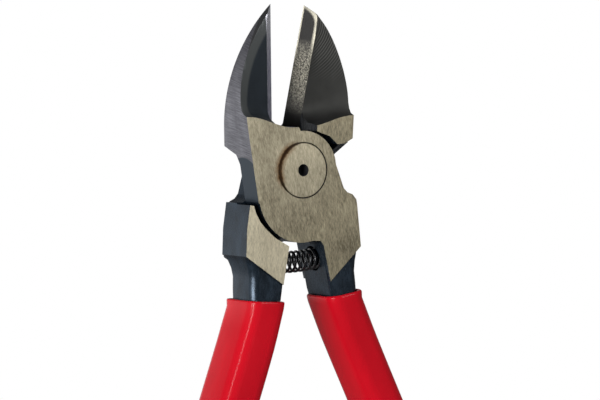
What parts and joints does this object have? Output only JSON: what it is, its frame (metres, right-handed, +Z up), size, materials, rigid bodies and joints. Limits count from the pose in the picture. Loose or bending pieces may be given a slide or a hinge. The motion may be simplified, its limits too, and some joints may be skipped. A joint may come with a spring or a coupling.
{
  "type": "diagonal cutting pliers",
  "caption": "Spring-opened lap-joint side cutters with flush-backed tapered jaws, flush rivet and glossy dipped vinyl handle sleeves.",
  "frame": {"origin": "centre of the pivot rivet's rear face, on the tool's rear ground face", "axes": "+Z up from the pivot between the jaw tips, +X to the right seen from the front, +Y to the back along the pivot axis"},
  "size_m": [0.0752, 0.0106, 0.15],
  "materials": {
    "tool_steel": "dark satin forging with ground, brushed faces at the joint",
    "rivet_steel": "ground flush with the joint, fine vertical brushing",
    "spring_steel": "gloss black",
    "dipped_vinyl": "glossy red dipped vinyl"
  },
  "bodies": {
    "front_half": {"front_lever": "tool_steel", "front_grip": "dipped_vinyl", "pivot_rivet": "rivet_steel", "return_spring": "spring_steel"},
    "rear_half": {"rear_lever": "tool_steel", "rear_grip": "dipped_vinyl"}
  },
  "joints": [
    {"name": "pivot", "type": "hinge", "parent": "front_half", "child": "rear_half", "pos_m": [0, 0, 0], "axis": [0, -1, 0], "range_deg": [0, 13.1], "stiffness_Nm_per_rad": 0.27, "springref_deg": -20.05, "deforming": ["return_spring"]}
  ]
}
